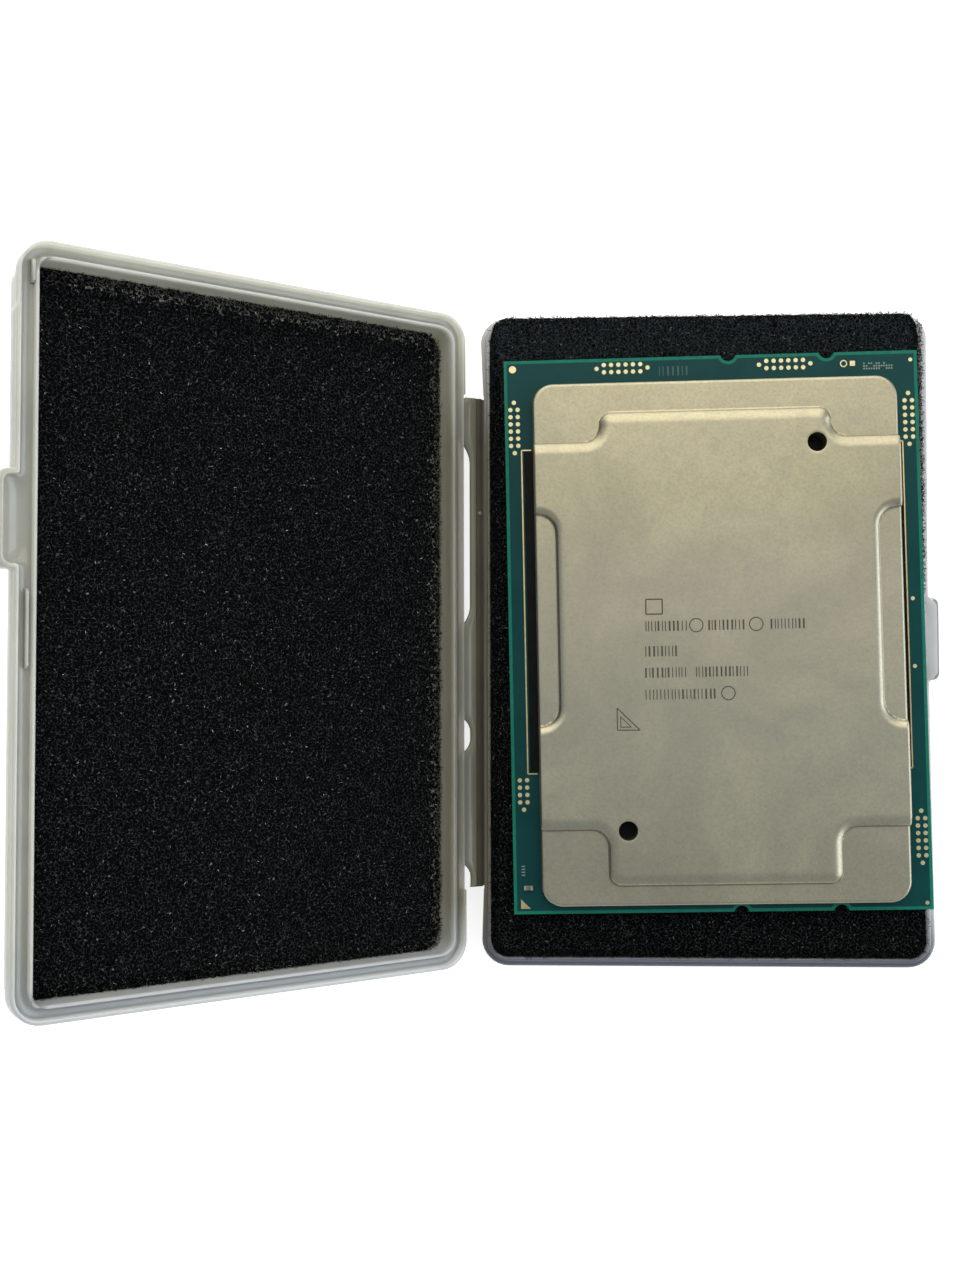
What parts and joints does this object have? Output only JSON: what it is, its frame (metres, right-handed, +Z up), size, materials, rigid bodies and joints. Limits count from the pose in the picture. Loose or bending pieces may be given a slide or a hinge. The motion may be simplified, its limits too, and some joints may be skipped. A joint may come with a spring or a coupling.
{
  "type": "processor package in storage case",
  "caption": "Land-grid processor package with a stepped metal heat spreader, lying on foam in a translucent hinged plastic storage case whose lid stands open.",
  "frame": {"origin": "centre of the case base's underside, on the surface it rests on", "axes": "+X across the case from the hinge towards the base's finger tab, +Y along the hinge towards the package's end with two test pad rows, +Z up"},
  "size_m": [0.1185, 0.0902, 0.0472],
  "materials": {
    "case_plastic": "satin",
    "foam": "matte",
    "laminate": "satin",
    "solder_mask": "gloss",
    "epoxy": "gloss",
    "silicon": "polished",
    "thermal_alloy": "matte",
    "nickel": "satin",
    "sealant": "matte",
    "gold": "satin",
    "ceramic": "matte",
    "tin": "satin"
  },
  "bodies": {
    "base": {"case_base": "case_plastic", "base_foam": "foam"},
    "strap": {"hinge_strap": "case_plastic"},
    "lid": {"case_lid": "case_plastic", "lid_foam": "foam"},
    "package": {"substrate": "laminate", "solder_mask": "solder_mask", "underfill": "epoxy", "patch_substrate": "solder_mask", "silicon_die": "silicon", "thermal_interface": "thermal_alloy", "heat_spreader": "nickel", "spreader_sealant": "sealant", "die_side_capacitors": "ceramic", "frame_traces": "gold", "test_pads_top_left": "gold", "test_pads_top_right": "gold", "test_pads_left_upper": "gold", "test_pads_left_lower": "gold", "test_pads_right_upper": "gold", "test_pads_right_lower": "gold", "corner_fiducial": "gold", "locator_dots": "gold", "pin_one_marker": "gold", "corner_capacitor_body": "ceramic", "corner_capacitor_ends": "tin", "land_field_left": "gold", "land_field_right": "gold", "land_side_capacitors": "ceramic"}
  },
  "joints": [
    {"name": "base_hinge", "type": "hinge", "parent": "base", "child": "strap", "pos_m": [-0.031, 0, 0.00655], "axis": [0, 1, 0], "range_deg": [-17.44, 67.5]},
    {"name": "lid_hinge", "type": "hinge", "parent": "strap", "child": "lid", "pos_m": [-0.03377, 0, 0.0077], "axis": [0, 1, 0], "range_deg": [-19.5, 75.5], "deforming": ["lid_foam"]},
    {"name": "package_settle", "type": "hinge", "parent": "base", "child": "package", "pos_m": [0.0005, 0.08705, 0.0087], "axis": [0, 0, 1], "range_deg": [-0.93, 0.24]}
  ],
  "couplings": [
    {"joint": "base_hinge", "follows": "lid_hinge", "ratio": 0.89404},
    {"joint": "package_settle", "follows": "lid_hinge", "ratio": -0.012318}
  ]
}
